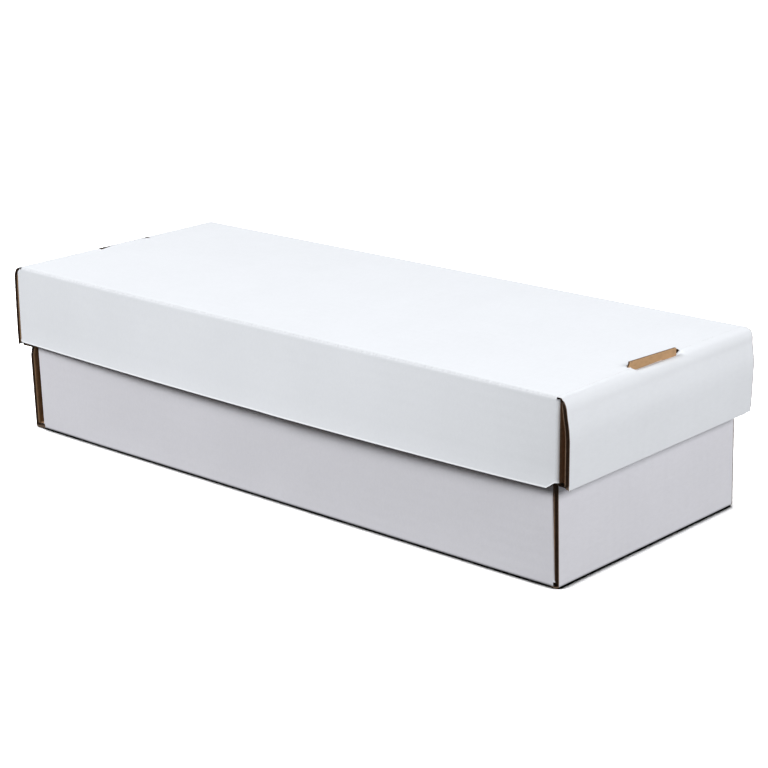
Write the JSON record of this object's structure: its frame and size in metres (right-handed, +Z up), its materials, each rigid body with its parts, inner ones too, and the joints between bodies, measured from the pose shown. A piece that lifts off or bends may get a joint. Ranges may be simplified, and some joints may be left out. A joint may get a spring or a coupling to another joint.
{
  "type": "card storage box",
  "caption": "Long two-piece corrugated box with a lift-off lid over its upper half, rolled-over ends locked by tabs in slots, and room for one row of graded card slabs.",
  "frame": {"origin": "on the surface the box stands on, under the middle of the box", "axes": "+X along the box to the end whose lid tab shows, +Z up, and the front long side faces -Y"},
  "size_m": [0.4388, 0.1734, 0.1067],
  "materials": {
    "white_board": "matt white top liner",
    "kraft_board": "bare brown kraft liner"
  },
  "bodies": {
    "base": {"base_floor": "white_board", "base_side_front": "white_board", "base_side_back": "white_board", "base_flap_front_left": "kraft_board", "base_flap_front_right": "kraft_board", "base_flap_back_left": "kraft_board", "base_flap_back_right": "kraft_board", "base_end_outer_left": "white_board", "base_end_outer_right": "white_board", "base_end_rim_left": "white_board", "base_end_rim_right": "white_board", "base_end_inner_left": "white_board", "base_end_inner_right": "white_board"},
    "lid": {"lid_top": "white_board", "lid_side_front": "white_board", "lid_side_back": "white_board", "lid_flap_front_left": "kraft_board", "lid_flap_front_right": "kraft_board", "lid_flap_back_left": "kraft_board", "lid_flap_back_right": "kraft_board", "lid_end_outer_left": "white_board", "lid_end_outer_right": "white_board", "lid_end_rim_left": "white_board", "lid_end_rim_right": "white_board", "lid_end_inner_left": "kraft_board", "lid_end_inner_right": "kraft_board"}
  },
  "joints": [
    {"name": "lid_lift", "type": "slide", "parent": "base", "child": "lid", "axis": [0, 0, 1], "range_m": [0, 0.12]}
  ]
}
